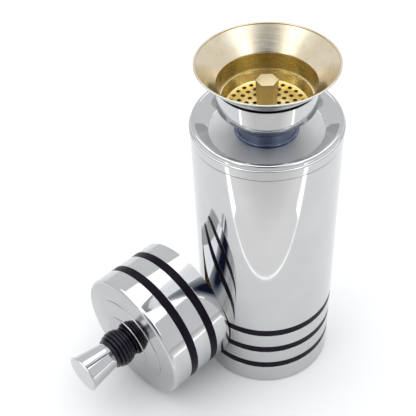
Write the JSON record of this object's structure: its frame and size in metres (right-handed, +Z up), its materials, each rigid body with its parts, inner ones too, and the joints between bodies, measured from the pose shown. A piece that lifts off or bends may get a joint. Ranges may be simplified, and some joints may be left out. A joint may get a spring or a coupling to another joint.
{
  "type": "cocktail shaker set",
  "caption": "Straight chromed cocktail shaker with inlaid black bands, a push-in pouring top with funnel and lift-out strainer, and its knobbed cap lying beside it.",
  "frame": {"origin": "centre of the flat base that the shaker's body stands on", "axes": "+Z up along the body's axis; the cap lies on the table on the -X, -Y side, with its open end towards the body"},
  "size_m": [0.1822, 0.1352, 0.2499],
  "materials": {
    "body_chrome": "polished",
    "base_chrome": "polished",
    "sleeve_chrome": "polished",
    "shoulder_chrome": "polished",
    "spout_chrome": "polished",
    "cap_chrome": "polished",
    "knob_chrome": "polished",
    "band_enamel": "glossy enamel",
    "collar_black": "glossy",
    "funnel_brass": "satin inside",
    "strainer_brass": "satin",
    "post_brass": "worn",
    "fastener_brass": "satin",
    "fastener_steel": "plain"
  },
  "bodies": {
    "shaker_body": {"body_tube": "body_chrome", "base_pan": "base_chrome", "body_band_lower": "band_enamel", "body_band_middle": "band_enamel", "body_band_upper": "band_enamel"},
    "pouring_top": {"plug_sleeve": "sleeve_chrome", "shoulder_bead": "shoulder_chrome", "shoulder_dish": "shoulder_chrome", "neck_cup": "spout_chrome", "funnel": "funnel_brass", "funnel_lip": "funnel_brass"},
    "strainer": {"strainer_cup": "strainer_brass", "hex_post": "post_brass", "post_washer": "fastener_brass", "post_screw": "fastener_brass"},
    "cap": {"cap_shell": "cap_chrome", "cap_step_lower": "cap_chrome", "cap_step_upper": "cap_chrome", "cap_band_lower": "band_enamel", "cap_band_upper": "band_enamel", "knob_collar": "collar_black", "knob": "knob_chrome", "knob_stud": "fastener_steel", "knob_washer": "fastener_steel", "knob_nut": "fastener_steel"}
  },
  "joints": [
    {"name": "pouring_top_pull", "type": "slide", "parent": "shaker_body", "child": "pouring_top", "axis": [0, 0, 1], "range_m": [0, 0.045]},
    {"name": "strainer_lift", "type": "slide", "parent": "pouring_top", "child": "strainer", "axis": [0, 0, 1], "range_m": [0, 0.055]},
    {"name": "cap_pull", "type": "slide", "parent": "shaker_body", "child": "cap", "axis": [-0.682, -0.7314, 0], "range_m": [0, 0.06]}
  ]
}
